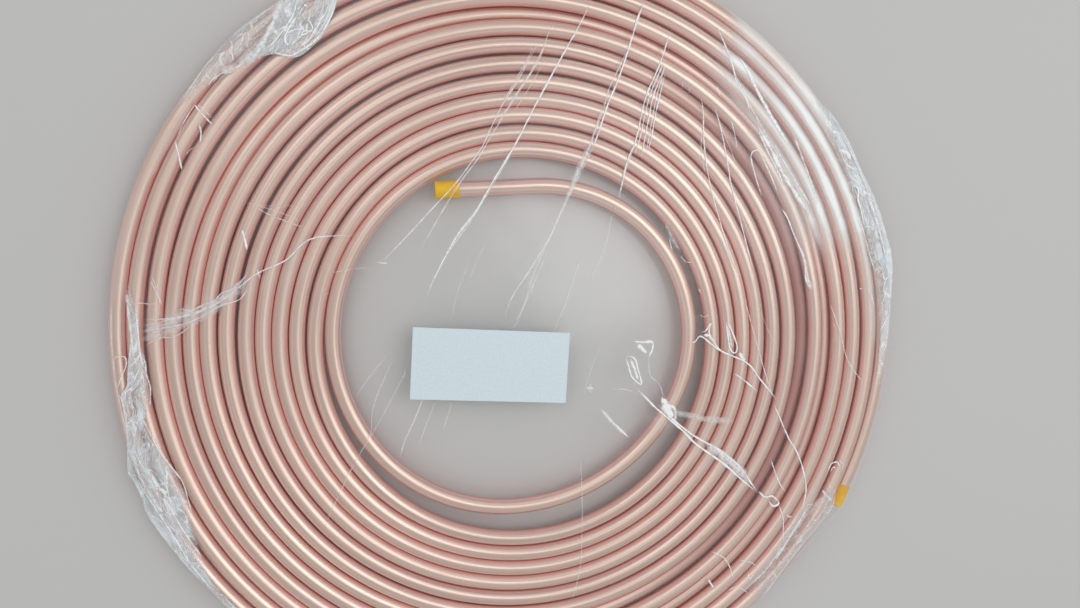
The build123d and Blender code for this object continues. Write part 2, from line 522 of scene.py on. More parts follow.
film_angles = np.linspace(0, 2 * math.pi, film_turns, endpoint=False)
film_directions = np.stack([np.cos(film_angles), np.sin(film_angles)], 1)
outer_run = centres[run_length > run_length[-1] - outer_length]
around_tube = np.linspace(0, 2 * math.pi, outline_sides, endpoint=False)
circle = np.stack([np.cos(around_tube), np.sin(around_tube)], 1)
outline = (outer_run[:, None, :2] + tube_radius * circle).reshape(-1, 2)
film_outline = tight_outline(outline, film_directions) + film_gap
# Small pleats around the rim, which come and go
fine_pleats = swell(film_angles * 40, 0, wavelength=3.0, seed=5)
pleats = fine_pleats * swell(film_angles * 12, 0, wavelength=9.0, seed=6)


def dish(profile, lift):
    """Points and faces of a sheet around the axis. Each profile row is a radius, as a distance in from
    the outline, a height and how pleated it is, and lift adds to the heights."""
    rings = []
    for inset, height, pleated in profile:
        radius = film_outline - inset + pleats * pleated
        x, y = radius * film_directions[:, 0], radius * film_directions[:, 1]
        rings.append(np.stack([x, y, height + lift(x, y)], 1))
    middle = rings[0].mean(0)
    points = np.concatenate(rings + [[middle]])
    faces = [list(face) for face in grid_faces(len(profile), film_turns, closed=True)]
    last = len(points) - 1
    faces += [[last, (side + 1) % film_turns, side] for side in range(film_turns)]
    return points, faces


def clear_shader(wire):
    """Film that lets light straight through."""
    return wire.node("BsdfTransparent", {}, {"Color": (1.0, 1.0, 1.0, 1.0)})


def gloss_shader(wire, roughness, normal):
    """Shine on the film's surface."""
    inputs = {"Color": (1.0, 1.0, 1.0, 1.0), "Roughness": roughness, "Normal": normal}
    return wire.node("BsdfGlossy", {}, inputs)


milk_white = (0.97, 0.99, 0.98, 1.0)
most_sheen = 0.12
film, wire = new_material("clear_film")
place = object_place(wire)
cloud = place.noise(16.0, 3.0, 0.55).between(0.35, 0.75, 0.6, 1.4)
haze_and_glare = stored(wire, "milk") * cloud
ripple = place.noise(45.0, 3.0, 0.5).bump(0.2, 0.002)
sheen = (wire.node("Fresnel", {}, {"IOR": 1.5}) * 0.7).at_most(most_sheen)
pane = sheen.shader_mix(clear_shader(wire), gloss_shader(wire, 0.16, ripple))
milk = wire.node("BsdfPrincipled", {}, {"Base Color": milk_white, "Roughness": 0.35})
set_surface(haze_and_glare.shader_mix(pane, milk))

bends = [math.radians(angle) for angle in range(0, 91, 15)]
back_profile = [(inset, floor_gap, 0.0) for inset in flat_insets]
for bend in bends:
    inset = shoulder * (1 - math.sin(bend))
    height = floor_gap + shoulder * (1 - math.cos(bend))
    back_profile.append((inset, height, seam_pleating * math.sin(bend)))
back_profile += [
    (0.0, rim_foot, rim_pleating),
    (0.0, seam_height - seam_curl, rim_pleating),
    (-seam_width, seam_height - weld_half, seam_pleating),
]
points, faces = dish(back_profile, lambda x, y: 0 * x)
back_sheet = mesh_piece("film_back_sheet", points, faces)
point_values(back_sheet, "milk", np.full(len(points), back_milk))
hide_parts("film_back")
back_sheet.data.materials.append(film)

# Film wrap, front sheet
# The same film drawn tight over the turns and the open middle. It stands a little higher in the middle,
# where the inner end's cap lifts it, and it clouds over where it is stretched or doubled. At the upper right
# its milk also paints the glare of light on the film over the turns' crowns.
middle_height = 16.95
middle_radius = 112
middle_slope = 26
face_radius = 236
face_swell = 0.1
# The sheet's rings lie wide apart over the open middle, and close together over the turns
middle_insets = (238, 220, 200, 180, 160, 145)
turn_insets = np.arange(135, 10, -1.25)
thinnest_milk = 0.012
# The film clings to the crowns of the turns, and its milk is made strongest there, which also paints
# the glare of light on the crowns: how far across a turn it reaches in tube radii, how much milk shows
# on a crown and between turns, and how fast it fades
crown_glare_reach = 1.1
crown_glare_most = 1.2
crown_glare_least = 0.04
crown_glare_fade = 1.5
# Cloudy places, some of them painted glare on the turns: pixels of the photograph, their reach in pixels and
# how milky they are
clouded_and_glare = (
    # These three paint the glare of light on the film over the turns at the upper right
    ((800, 110), (848, 215), 30, 0.85),
    ((742, 60), (812, 215), 24, 0.80),
    ((775, 72), (838, 185), 16, 0.50),
    ((858, 190), (880, 330), 14, 0.45),
    # This one paints the highlight along the outermost turn at the upper right
    ((745, 24), (842, 128), 13, 0.50),
    ((720, 160), (790, 330), 40, 0.06),
    ((140, 328), (300, 268), 9, 0.16),
    ((130, 200), (120, 330), 10, 0.08),
    ((560, 60), (470, 220), 30, 0.05),
    ((660, 415), (735, 470), 16, 0.10),
    ((815, 500), (745, 600), 16, 0.14),
    ((200, 60), (330, 20), 24, 0.08),
    ((520, 270), (600, 400), 80, 0.03),
)


def under_pixel(x, y, height):
    """Place at a height in the model that the camera sees at a pixel of the photograph."""
    turned = np.array(camera.rotation_euler.to_matrix())
    across = (np.asarray(x, float) - picture_width / 2) / focal_length_in_pixels
    up = (picture_height / 2 - np.asarray(y, float)) / focal_length_in_pixels
    ray = across[..., None] * turned[:, 0] + up[..., None] * turned[:, 1] - turned[:, 2]
    start = np.array(camera_place)
    return start + ray * ((height - start[2]) / ray[..., 2])[..., None]


def face_lift(x, y):
    """Height of the front sheet over its level on the turns."""
    away = np.clip((np.hypot(x, y) - middle_radius) / middle_slope, 0, 1)
    raised = (middle_height - face_height) * (1 - away * away * (3 - 2 * away))
    return raised + face_swell * swell(x, y, wavelength=38, seed=11)


def distance_to_run(points, start, end):
    """Distance in plan from points to the straight run between two places."""
    run = end[:2] - start[:2]
    part = np.clip((points[:, :2] - start[:2]) @ run / (run @ run), 0, 1)
    return np.linalg.norm(points[:, :2] - start[:2] - part[:, None] * run, axis=1)


pixel_size = (camera_place[2] - face_height) / focal_length_in_pixels
round_over = tube_radius + film_gap
front_profile = [(inset, face_height, 0.0) for inset in (*middle_insets, *turn_insets)]
for bend in bends:
    inset = round_over * (1 - math.sin(bend))
    height = tube_centre_height + round_over * math.cos(bend)
    front_profile.append((inset, height, seam_pleating * math.sin(bend)))
front_profile += [
    (0.0, seam_height + seam_curl, rim_pleating),
    (-seam_width, seam_height + weld_half, seam_pleating),
]
points, faces = dish(front_profile, lambda x, y: face_lift(x, y) * (np.hypot(x, y) < face_radius))
front_sheet = mesh_piece("film_front_sheet", points, faces)
milkiness = np.zeros(len(points))
for first, second, reach, amount in clouded_and_glare:
    start, end = under_pixel([first[0], second[0]], [first[1], second[1]], face_height)
    milkiness += amount * np.exp(-(distance_to_run(points, start, end) / (reach * pixel_size)) ** 2)
turns_below = KDTree(len(centres))
for index, centre in enumerate(centres):
    turns_below.insert((centre[0], centre[1], 0.0), index)
turns_below.balance()
nearest = np.array([turns_below.find((x, y, 0.0))[1] for x, y, _ in points])
beside = np.sum((points - centres[nearest])[:, :2] * sideways[nearest][:, :2], axis=1)
off_crown = np.abs(beside) / tube_radius
# Milk is made strongest on the crowns, which paints the glare there
crown_milk_and_glare = crown_glare_least + crown_glare_most * np.clip(crown_glare_reach - off_crown, 0, 1) ** crown_glare_fade
point_values(front_sheet, "milk", thinnest_milk + milkiness * crown_milk_and_glare)
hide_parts("film_front")
front_sheet.data.materials.append(film)

# Tension creases in the front sheet, with painted glare and glints
# Fine threads and folds where the film was pulled and shrunk over the turns. Each stands a little
# proud of the sheet, and shows whiter than the film around it. Some wide bands among them paint the
# glare of light on the outer turns, and some short strokes paint glints, drawn in the same way.
crease_spacing = 1.6
crease_narrowing = 0.62
least_half_width = 0.14
crease_clearance = 0.03
least_ridge = 0.12
ridge_share = 0.16
unevenness = 0.35
uneven_length = 6.0
uneven_white = 0.15
# How fast a crease narrows and fades towards its ends, and what is left of it there
narrowing_rate = 9
narrowest = 0.12
fading_rate = 6
faintest = 0.25
# Across a crease: place from side to side, height and whiteness
crease_section = ((-1.0, 0.0, 0.0), (-0.45, 0.55, 0.75), (0.0, 1.0, 1.0), (0.45, 0.55, 0.75), (1.0, 0.0, 0.0))
# Inside this distance from the outline the film rounds over the outermost turn
level_inset = 14
rim_depth = 2.5
fold_rise = 1.3
# Each crease: width in pixels, whiteness, and the pixels of the photograph that it runs through
creases_and_glints = (
    (1.6, 0.95, (592, 0), (579, 26), (560, 60), (535, 106), (516, 143), (492, 183), (476, 211), (455, 239),
     (432, 283), (427, 297)),
    (1.2, 0.45, (515, 147), (492, 186), (470, 222), (447, 254), (432, 283)),
    (1.3, 0.6, (541, 38), (530, 58), (517, 82), (503, 104), (489, 132), (482, 147), (470, 164), (455, 184),
     (431, 210), (408, 235), (378, 266)),
    (1.2, 0.5, (556, 17), (550, 29), (541, 55), (533, 70), (524, 84), (515, 98), (503, 117), (490, 138),
     (477, 160), (464, 177), (446, 205), (418, 254)),
    (1.2, 0.5, (548, 40), (538, 58), (530, 73), (520, 88), (513, 99), (505, 112), (494, 130)),
    (1.1, 0.45, (534, 46), (526, 62), (518, 76), (510, 90), (500, 106)),
    (1.0, 0.4, (543, 62), (534, 80), (524, 96), (514, 112)),
    (1.0, 0.4, (472, 220), (447, 254), (432, 283), (427, 297)),
    (1.7, 0.95, (644, 2), (636, 22), (635, 28), (623, 66), (616, 85), (608, 104), (598, 134), (591, 152)),
    (1.3, 0.6, (644, 2), (641, 10), (638, 20), (635, 28)),
    (1.2, 0.6, (607, 94), (599, 118), (587, 152), (575, 181), (567, 198), (558, 218), (549, 238),
     (531, 268), (512, 297), (503, 323)),
    (5.0, 0.42, (590, 146), (584, 158), (577, 172), (572, 186), (566, 199)),
    (1.0, 0.45, (598, 134), (588, 158), (576, 182), (560, 216), (535, 270), (524, 304), (510, 331)),
    (0.9, 0.35, (548, 250), (533, 285), (517, 322), (511, 331)),
    (1.3, 0.95, (672, 30), (668, 38), (664, 52), (657, 71), (646.5, 95), (641, 117), (636, 140), (626, 165),
     (619, 200)),
    (1.1, 0.8, (666, 56), (660, 71), (650, 95), (644.5, 117), (639.5, 140), (634, 156)),
    (1.2, 0.9, (664, 62), (663.5, 71), (653.5, 95), (649, 117), (644.5, 140), (641, 160)),
    (1.0, 0.7, (664, 72), (657, 95), (652.5, 117), (648.5, 140), (645, 156)),
    (1.2, 0.85, (665, 73), (660, 95), (656, 112), (652, 134), (648, 152)),
    (1.1, 0.55, (639, 126), (634, 146), (627, 166), (620, 190), (619, 200)),
    (1.1, 0.55, (628, 50), (623, 59), (616, 74), (609, 89), (603, 111), (595, 132), (589, 152)),
    (0.9, 0.35, (614, 202), (611, 218), (605, 246), (590, 282)),
    (0.9, 0.4, (581, 256), (572, 283), (562, 312), (552, 335)),
    (0.8, 0.35, (683, 80), (682, 90)),
    (0.8, 0.35, (690, 85), (689, 94)),
    (1.3, 0.8, (700, 93), (703, 110), (704, 142), (709, 179), (719, 218), (736, 273)),
    (1.0, 0.45, (701, 101), (704, 119), (701, 147), (705, 175)),
    (1.3, 0.8, (713, 101), (721, 129), (728, 165), (731, 184), (741, 223), (754, 273)),
    (1.0, 0.45, (714, 110), (726, 138), (735, 161), (748, 200)),
    (1.1, 0.6, (731, 119), (736, 140), (737, 149)),
    (1.4, 0.7, (717, 86), (720, 96)),
    (1.5, 0.9, (717, 26), (731, 60), (737, 83), (747, 101), (750, 115)),
    (1.2, 0.7, (724, 44), (740, 85), (760, 124), (779, 158), (800, 200)),
    # Among the next seven, the wide bands of two pixels and more paint the glare of light on the film over
    # the turns' crowns
    (3.6, 0.85, (737, 55), (747, 69), (760, 96), (779, 129), (792, 151)),
    (1.6, 0.85, (740, 58), (751, 78), (772, 119), (789, 146)),
    (4.6, 0.8, (756, 124), (770, 147), (783, 174), (797, 196), (810, 216)),
    (2.6, 0.6, (793, 133), (803, 160), (812, 185), (818, 208)),
    (2.6, 0.5, (822, 104), (838, 140), (849, 168), (855, 190)),
    (2.4, 0.75, (758, 130), (768, 152), (778, 172), (784, 186)),
    (2.0, 0.7, (772, 140), (783, 160), (797, 184), (812, 208)),
    (1.5, 0.8, (763, 200), (755, 175), (751, 156), (756, 150), (760, 153), (770, 174), (779, 197)),
    (1.6, 0.9, (779, 205), (787, 217), (793, 232), (804, 260), (806, 280), (812, 292)),
    (3.6, 0.6, (800, 246), (805, 262), (808, 280), (812, 290)),
    (1.0, 0.35, (737, 200), (752, 244), (767, 290)),
    (1.3, 0.5, (719, 234), (730, 256), (740, 276)),
    (1.1, 0.6, (744, 296), (750, 319), (763, 366), (774, 400)),
    (0.9, 0.3, (760, 310), (768, 330), (779, 352)),
    (1.1, 0.6, (829, 301), (839, 329), (848, 361), (864, 384)),
    (1.6, 1.15, (726, 321), (728, 336), (730, 349), (735, 353), (737, 346), (731, 329), (726, 321)),
    (2.6, 0.55, (727, 326), (730, 338), (732, 348)),
    (1.6, 1.15, (687, 340), (694, 342), (700, 336), (710, 343), (721, 351), (747, 363), (760, 379),
     (777, 400)),
    (1.5, 1.0, (700, 332), (705, 331), (711, 323), (709, 333), (719, 349), (732, 357)),
    (3.6, 0.8, (703, 335), (709, 336), (715, 344)),
    (1.4, 0.95, (734, 373), (745, 381), (758, 392)),
    (3.4, 1.0, (739, 352), (742, 357), (745, 361)),
    (2.4, 1.0, (633, 341), (642, 342), (652, 342), (652, 349), (648, 358)),
    (4.6, 0.95, (637, 344), (642, 349), (647, 353)),
    (1.7, 1.1, (625, 356), (634, 358), (638, 370), (641, 384), (632, 377), (628, 365), (625, 356)),
    (2.8, 0.85, (630, 359), (634, 368), (638, 380)),
    (1.0, 0.5, (648, 358), (650, 375), (659, 384), (664, 399)),
    (8.0, 1.2, (662, 398), (667, 408), (672, 418)),
    (3.6, 0.85, (661, 396), (665, 404), (674, 408), (675, 421)),
    (7.0, 0.34, (672, 412), (688, 415), (705, 419), (733, 421)),
    (2.2, 1.25, (636, 388), (648, 400), (657, 409), (682, 430), (696, 444), (724, 464), (742, 480),
     (758, 493)),
    (2.0, 1.2, (657, 404), (676, 422), (696, 437), (721, 451), (740, 467), (751, 483), (758, 492)),
    (8.5, 0.6, (706, 444), (722, 455), (738, 469), (748, 480)),
    (2.6, 1.0, (712, 446), (726, 455), (738, 466)),
    (2.0, 1.1, (758, 491), (765, 497), (772, 496), (779, 503), (773, 506), (768, 500)),
    (1.3, 0.8, (779, 505), (783, 519), (783, 542)),
    (1.6, 0.95, (772, 400), (779, 416), (788, 437), (799, 457), (806, 487), (801, 515)),
    (1.3, 0.8, (771, 460), (778, 480), (785, 492)),
    (1.3, 0.8, (711, 551), (724, 558), (731, 570), (733, 579)),
    # Painted glint
    (2.0, 1.1, (708, 579), (711, 584), (714, 588)),
    (1.4, 0.9, (748, 573), (750, 579), (753, 574)),
    (1.0, 0.6, (739, 560), (750, 562), (756, 566)),
    (1.1, 0.6, (728, 590), (738, 587), (748, 593)),
    (10.0, 0.3, (834, 492), (812, 508), (797, 527), (782, 548), (766, 570), (744, 592)),
    (2.2, 0.85, (808, 506), (800, 520), (790, 536), (783, 548), (774, 562)),
    (1.5, 0.75, (784, 543), (772, 562), (762, 574), (750, 585)),
    (1.3, 0.7, (800, 510), (792, 524), (781, 538), (770, 552)),
    (3.0, 0.7, (822, 490), (828, 497), (832, 501)),
    (1.4, 0.95, (828, 470), (831, 464), (837, 462), (840, 467)),
    (1.2, 0.85, (830, 473), (833, 467), (836, 469)),
    (1.2, 0.8, (839, 460), (843, 465), (842, 470)),
    (1.2, 0.85, (806, 507), (809, 504), (812, 505)),
    (1.5, 0.95, (786, 514), (789, 517), (792, 516)),
    (0.9, 0.4, (832, 322), (836, 330), (834, 340)),
    (2.0, 1.0, (601, 409), (608, 418), (618, 427), (629, 438)),
    (3.4, 0.5, (603, 411), (612, 422), (624, 434)),
    (0.9, 0.45, (615, 389), (624, 389), (633, 392)),
    # These two short strokes cross in a star: a painted glint
    (2.8, 0.5, (586, 388), (590, 388), (594, 388)),
    (2.0, 0.4, (590, 383), (590, 388), (590, 393)),
    (1.0, 0.35, (580, 452), (582, 508), (580, 567), (570, 606)),
    (1.0, 0.35, (396, 352), (374, 404), (371, 432), (361, 452), (348, 476), (328, 519), (324, 534)),
    (0.9, 0.3, (388, 354), (370, 376), (355, 398)),
    (0.9, 0.35, (409, 365), (392, 398), (371, 436), (362, 450)),
    (1.1, 0.5, (424, 396), (413, 423), (405, 440), (400, 458)),
    (0.9, 0.35, (452, 402), (443, 430)),
    (0.9, 0.3, (436, 400), (426, 425), (419, 446)),
    (0.8, 0.25, (470, 262), (458, 290), (452, 318)),
    (0.8, 0.25, (490, 236), (476, 262), (468, 286)),
    (0.8, 0.22, (600, 345), (590, 372), (583, 396)),
    (0.8, 0.22, (574, 330), (566, 352), (560, 374)),
    (11.0, 0.32, (143, 332), (160, 327), (181, 317), (204, 309), (225, 299), (248, 280)),
    (8.0, 0.28, (141, 340), (158, 335), (177, 328), (200, 318), (222, 305)),
    (1.5, 0.7, (139, 327), (187, 315), (216, 304), (242, 285), (258, 273), (286, 260), (311, 239),
     (357, 235)),
    (1.4, 0.6, (139, 332), (187, 323), (220, 306), (240, 299), (252, 281)),
    (1.2, 0.5, (142, 320), (176, 318), (200, 312), (228, 292), (245, 276)),
    (1.2, 0.45, (146, 345), (160, 338), (176, 336), (196, 322)),
    (1.3, 0.6, (176, 312), (181, 309), (190, 311), (203, 305), (214, 301), (222, 293), (236, 287),
     (250, 270)),
    (1.0, 0.45, (130, 303), (140, 303), (152, 304), (162, 301)),
    (1.0, 0.4, (152, 276), (157, 290), (162, 306)),
    (1.0, 0.5, (254, 206), (268, 214), (288, 222), (305, 228)),
    (0.9, 0.4, (252, 204), (266, 208), (284, 214), (302, 222)),
    (0.8, 0.25, (240, 202), (270, 206), (312, 205)),
    # Painted glint
    (2.2, 0.95, (242, 229), (245, 240), (247, 250)),
    (1.6, 0.85, (175, 141), (178, 152), (182, 170)),
    # Painted glint
    (1.4, 0.75, (199, 124), (201, 132), (200, 143)),
    (1.4, 0.85, (194, 104), (203, 115), (213, 125)),
    (1.0, 0.55, (197, 104), (206, 112), (215, 121)),
    (1.0, 0.6, (196, 103), (190, 112), (184, 122), (176, 140)),
    (6.0, 0.14, (150, 178), (164, 150), (178, 128), (190, 108)),
    (1.1, 0.6, (151, 281), (156, 292), (161, 304)),
    # Painted glint
    (1.4, 0.5, (256, 267), (258, 273), (260, 279)),
    (1.0, 0.4, (186, 155), (190, 150), (197, 146)),
    (0.8, 0.35, (330, 273), (348, 270), (369, 267)),
    # Painted glint
    (1.6, 0.6, (378, 262), (382, 263), (388, 263)),
    (0.8, 0.35, (322, 295), (330, 293)),
    # The next four paint glints and the soft glow around one of them
    (1.2, 0.7, (669, 237), (670, 244), (672, 251)),
    (3.6, 0.3, (664, 222), (672, 238), (680, 252)),
    (1.0, 0.5, (680, 256), (686, 262), (692, 262)),
    (1.6, 0.5, (698, 288), (701, 294)),
    (1.0, 0.4, (699, 314), (704, 317), (709, 314)),
)
# Bright folds on top of the bunched film at the rim, given in the same way
rim_folds = (
    (6.0, 0.6, (250, 62), (260, 50), (267, 36), (274, 23), (279, 9), (284, -4)),
    (1.8, 0.9, (251, 62), (262, 46), (270, 30), (277, 14), (283, 0)),
    (1.6, 0.85, (269, 49), (278, 38), (287, 26), (294, 14), (297, 2)),
    (2.2, 0.95, (297, 17), (291, 26), (286, 36), (286, 43), (290, 47)),
    (1.4, 0.8, (287, 34), (296, 30), (305, 30)),
    (1.6, 0.85, (290, 47), (299, 38), (308, 33), (313, 28), (307, 18)),
    (1.6, 0.95, (317, 22), (320, 19), (320, 23), (317, 28), (312, 35)),
    (1.4, 0.75, (325, 12), (318, 26), (309, 40), (300, 48)),
    (1.2, 0.65, (330, 12), (324, 25), (315, 38)),
    (1.8, 0.8, (336, 0), (334, 10), (328, 23), (322, 33), (312, 44), (301, 51), (291, 56), (278, 54),
     (268, 49)),
    (3.0, 0.6, (300, 46), (307, 42), (313, 36), (318, 29)),
    (2.4, 0.95, (304, 5), (306, 6), (307, 5)),
    (2.0, 0.9, (318, 12), (319, 13), (320, 13)),
    (1.3, 0.75, (232, 51), (234, 62)),
    (1.2, 0.6, (209, 87), (213, 80), (224, 73), (233, 73)),
    (7.0, 0.4, (221, 72), (229, 70), (236, 67)),
    (8.0, 0.45, (240, 64), (248, 60), (256, 53)),
    (1.0, 0.5, (213, 84), (219, 76), (229, 70), (241, 66), (250, 61)),
    (1.0, 0.45, (246, 25), (249, 37), (248, 47), (255, 57)),
    (1.0, 0.4, (215, 70), (226, 58), (238, 48), (247, 36)),
    (1.3, 0.45, (180, 101), (191, 87), (204, 68), (213, 57), (223, 43), (230, 37), (249, 23), (262, 14),
     (279, 2)),
    (2.6, 0.55, (127, 288), (129, 312), (132, 335), (134, 352), (139, 370)),
    (1.4, 0.8, (136, 307), (139, 334), (141, 355), (146, 369)),
    (1.2, 0.7, (141, 355), (146, 362), (147, 374), (151, 386), (151, 400), (150, 407)),
    (1.3, 0.7, (140, 412), (150, 431), (160, 450), (172, 467), (184, 482)),
    (1.2, 0.6, (114, 360), (119, 356), (126, 357), (127, 365), (122, 377), (118, 388)),
    (1.1, 0.55, (119, 394), (122, 398), (125, 407), (125, 417)),
    (1.2, 0.45, (112, 300), (112, 334), (114, 360), (117, 386), (123, 414), (128, 438)),
    (1.2, 0.7, (153, 440), (169, 462), (183, 481), (189, 500), (193, 514)),
    (1.6, 0.8, (164, 495), (176, 516), (186, 533), (196, 547), (203, 557)),
    (1.2, 0.65, (134, 445), (141, 462), (152, 476), (164, 492), (177, 505)),
    (1.8, 0.8, (129, 454), (133, 474), (145, 492), (157, 509), (174, 535), (189, 560), (203, 578),
     (218, 596)),
    (4.0, 0.45, (131, 440), (138, 470), (150, 492), (164, 514)),
    (1.6, 1.1, (851, 184), (857, 189), (857, 200), (860, 210), (863, 226)),
    (1.2, 0.6, (856, 213), (862, 230), (869, 256), (874, 272)),
    (5.0, 0.8, (866, 192), (874, 214), (882, 240), (888, 266)),
    (1.4, 0.75, (858, 288), (861, 289)),
    (1.1, 0.5, (870, 293), (873, 307)),
    (2.0, 1.0, (838, 126), (848, 146), (858, 168), (868, 192), (876, 216), (884, 244), (888, 270)),
    (1.1, 0.5, (832, 134), (842, 158), (852, 184), (862, 212), (870, 240)),
    (1.0, 0.45, (826, 476), (829, 492), (822, 510), (804, 532), (786, 556)),
)


def smooth_line(points, spacing):
    """Places every spacing along a smooth line through points."""
    ends = np.concatenate([[2 * points[0] - points[1]], points, [2 * points[-1] - points[-2]]])
    fine = []
    for before, start, end, after in zip(ends[:-3], ends[1:-2], ends[2:-1], ends[3:]):
        count = max(2, int(np.linalg.norm(end - start) / spacing) + 1)
        steps = np.linspace(0, 1, count, endpoint=False)[:, None]
        straight = 2 * start + (end - before) * steps
        bent = (2 * before - 5 * start + 4 * end - after) * steps**2
        fine.append(0.5 * (straight + bent + (3 * start - before - 3 * end + after) * steps**3))
    return np.concatenate(fine + [ends[-2:-1]])


def skin_height(points):
    """Height of the tight film over places in plan: level on the turns, then round and down the rim."""
    bearings = np.arctan2(points[:, 1], points[:, 0])
    outline_there = np.interp(bearings, film_angles, film_outline, period=2 * math.pi)
    inset = outline_there - np.hypot(points[:, 0], points[:, 1])
    level = np.where(inset > round_over, face_lift(points[:, 0], points[:, 1]) * (inset > level_inset), 0)
    curve = np.sqrt(np.clip(round_over**2 - np.clip(round_over - inset, 0, round_over) ** 2, 0, None))
    return tube_centre_height + level + curve - np.clip(-inset, 0, rim_depth)


def crease_strip(lift, width, whiteness, *pixels):
    """Points, faces and whiteness of one crease, a low ridge that tapers off at both ends."""
    pixels = np.array(pixels, float)
    line = smooth_line(under_pixel(pixels[:, 0], pixels[:, 1], face_height), crease_spacing)
    run = np.diff(line, axis=0)
    run = np.concatenate([run, run[-1:]])
    across = np.stack([-run[:, 1], run[:, 0]], 1)
    across /= np.linalg.norm(across, axis=1)[:, None]
    part = np.linspace(0, 1, len(line))
    to_end = np.minimum(part, 1 - part)
    seed = int(chance.integers(1000))
    uneven = 1 + unevenness * swell(part * len(line), part, uneven_length, seed)
    taper = np.clip(to_end * narrowing_rate + narrowest, 0, 1)
    half = np.maximum(width * crease_narrowing * pixel_size * taper * uneven, least_half_width)
    ridge = least_ridge + ridge_share * half
    rows = []
    for side, rise, _ in crease_section:
        places = line[:, :2] + across * (half * side)[:, None]
        level = skin_height(places) + lift + crease_clearance + ridge * rise
        rows.append(np.column_stack([places, level]))
    fade = np.clip(to_end * fading_rate + faintest, 0, 1) * (1 - uneven_white + uneven_white * uneven)
    whites = np.outer(whiteness * fade, [white for _, _, white in crease_section])
    return np.stack(rows, 1).reshape(-1, 3), grid_faces(len(line), len(crease_section)), whites.ravel()


chance = np.random.default_rng(3)
strips = [crease_strip(0, *crease) for crease in creases_and_glints]
strips += [crease_strip(fold_rise, *fold) for fold in rim_folds]
faces = []
base = 0
for strip_points, strip_faces, _ in strips:
    faces += (strip_faces + base).tolist()
    base += len(strip_points)
threads = mesh_piece("film_creases_and_glints", np.concatenate([strip[0] for strip in strips]), faces)
point_values(threads, "milk", np.concatenate([strip[2] for strip in strips]))

fold_grey = (0.90, 0.94, 0.96, 1.0)
fold_white = (0.99, 1.0, 1.0, 1.0)
crease_film, wire = new_material("creased_film")
place = object_place(wire)
broken = place.noise(420.0, 2.0, 0.5).between(0.25, 0.6, 0.75, 1.4)
white_fold = wire.node("BsdfPrincipled", {}, {
    "Base Color": broken.between(0.75, 1.4).colour_mix(fold_grey, fold_white),
    "Roughness": place.noise(260.0, 2.0, 0.5).between(0.3, 0.7, 0.12, 0.3),
    "Normal": place.noise(600.0, 2.0, 0.5).bump(0.4, 0.0004),
})
cover = (stored(wire, "milk") * broken).at_most(1.0)
set_surface(cover.shader_mix(clear_shader(wire), white_fold))
threads.data.materials.append(crease_film)

# Gathers in the film at the rim
# Where the wrap was bunched up to fit the round coil it lies crumpled in folds over the outer turns,
# doubled and cloudy: at the lower left, the upper left, the right and the lower right.
gather_spacing = 0.8
edge_spacing = 2.0
gather_clearance = 0.25
aiming_rounds = 6
# The folds, which rise from the gather's ends and its inner edge, and flatten towards the rim
fold_height = 0.9
highest_fold = 1.4
wide_fold_length = 7
crinkle_length = 3.5
crinkle_share = 0.3
end_rise = 6
inner_rise = 2.5
rim_flattening = 0.5
# Milky patches, and how fast they fade at the ends and at the outer edge
patch_length = 22
patch_level = 0.85
patch_change = 0.4
patch_least = 0.3
patch_most = 1.4
end_fading = 12
outer_fading = 10
outer_least = 0.5
# A doubled lip runs along the outer edge, and along an inner edge that starts more sharply than this
lip_inset = 0.03
lip_width = 0.05
lip_milk = 0.35
sharp_edge = 0.1
# Each gather: how milky, how ridged, how softly it starts from its inner edge, and a seed,
# then the pixels of the photograph along its outer and its inner edge
gathers = {
    "film_gather_lower_left": (
        0.72, 0.75, 0.22, 21,
        ((127, 284), (128.5, 302), (130, 320), (131, 337), (128, 364), (127, 385), (121, 396), (124.5, 416),
         (127, 440), (128, 471), (133, 480), (142, 498), (145, 509), (151, 520), (167, 542), (190, 570),
         (204, 584), (229, 608), (250, 626)),
        ((129, 284), (134, 302), (139, 320), (139, 341), (145, 356), (148, 372), (151, 391), (149, 408),
         (147, 424), (158, 440), (165, 455), (178, 475), (187, 494), (193, 516), (198, 545), (206, 566),
         (214, 583), (236, 606), (256, 624)),
    ),
    "film_gather_upper_left": (
        0.32, 0.45, 0.45, 22,
        ((178, 104), (190, 88), (203, 69), (219, 49), (226, 41), (241, 27), (255, 17), (280, 0),
         (300, -12)),
        ((184, 104), (209, 85), (221, 78), (233, 73), (250, 65), (262, 58), (280, 48), (300, 26), (316, 4)),
    ),
    "film_lobe_upper_left": (
        0.56, 1.05, 0.02, 23,
        ((247, 62), (252, 52), (259, 43), (267, 30), (275, 16), (283, 4), (292, -10)),
        ((266, 55), (280, 55), (292, 58), (304, 54), (322, 37), (331, 20), (340, -8)),
    ),
    "film_gather_right": (
        0.85, 1.1, 0.6, 24,
        ((818, 98), (828, 110), (837, 122), (849, 142), (862, 172), (874, 197), (885, 230), (891, 255),
         (892, 276), (888, 329), (880, 384)),
        ((812, 100), (818, 112), (826, 126), (834, 148), (843, 176), (852, 204), (862, 236), (869, 262),
         (875, 284), (879, 330), (876, 384)),
    ),
    "film_band_lower_right": (
        0.34, 0.35, 0.6, 25,
        ((836, 486), (833, 506), (821, 522), (805, 542), (792, 558), (776, 580), (760, 600)),
        ((826, 484), (822, 500), (808, 518), (792, 538), (778, 556), (762, 576), (748, 594)),
    ),
}


def even_line(line, count):
    """The same line as count places at even steps."""
    far = np.concatenate([[0], np.cumsum(np.linalg.norm(np.diff(line, axis=0), axis=1))])
    steps = np.linspace(0, far[-1], count)
    return np.stack([np.interp(steps, far, line[:, axis]) for axis in range(line.shape[1])], 1)


